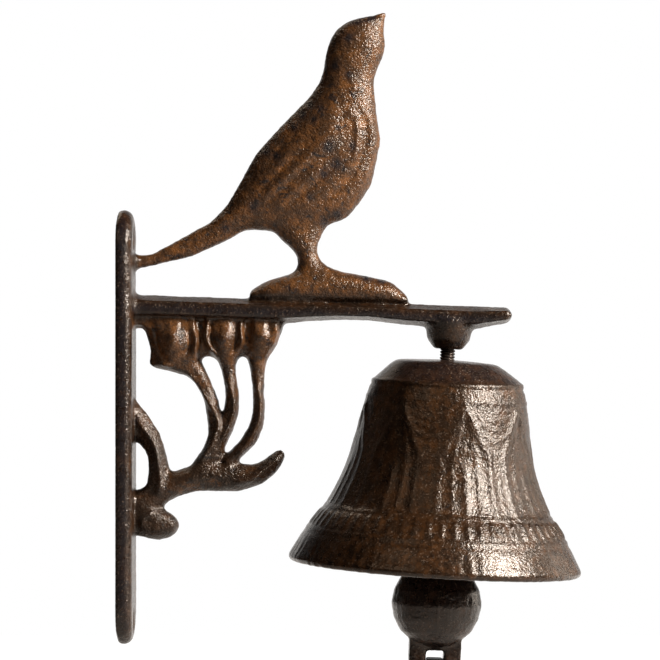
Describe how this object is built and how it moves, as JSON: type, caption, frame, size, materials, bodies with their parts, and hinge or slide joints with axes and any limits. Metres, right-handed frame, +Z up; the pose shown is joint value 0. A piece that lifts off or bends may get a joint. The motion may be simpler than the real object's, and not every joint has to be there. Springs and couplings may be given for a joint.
{
  "type": "cast iron bell",
  "caption": "Cast iron wall bell: a ribbed and draped bell with a clapper and pull strap, hung from a bracket with a bird and tulip scrolls.",
  "frame": {"origin": "middle of the wall plate's flat back face, which lies on the wall", "axes": "+X straight out of the wall, +Z up, +Y to the left of the bracket as seen by someone facing the wall, across the casting's plane"},
  "size_m": [0.1542, 0.0974, 0.3231],
  "materials": {
    "bracket_iron": "brown lacquered sand casting, glossy, with rusty and black patches",
    "bell_iron": "dark brown lacquered casting, glossy and slightly pitted",
    "rod_steel": "blackened steel thread",
    "strap_leather": "plain black leather",
    "rivet_brass": "blackened"
  },
  "bodies": {
    "root": {"bracket": "bracket_iron", "eye_bolt": "rod_steel", "bell_nut": "rod_steel", "bell_washer": "rod_steel"},
    "bell": {"bell": "bell_iron"},
    "ring": {"hanging_ring": "rod_steel"},
    "clapper": {"clapper": "bell_iron", "pull_strap": "strap_leather", "strap_rivet": "rivet_brass"}
  },
  "joints": [
    {"name": "bell_turn", "type": "hinge", "parent": "root", "child": "bell", "pos_m": [0.1097, 0, 0.0224], "axis": [0.061, 0, 0.9981], "continuous": true},
    {"name": "ring_swing", "type": "hinge", "parent": "root", "child": "ring", "pos_m": [0.10868, 0, 0.00573], "axis": [1, 0, 0], "range_deg": [-12, 12]},
    {"name": "clapper_swing", "type": "hinge", "parent": "ring", "child": "clapper", "pos_m": [0.10823, 0, -0.0017], "axis": [0, 1, 0], "range_deg": [-25, 28]}
  ]
}
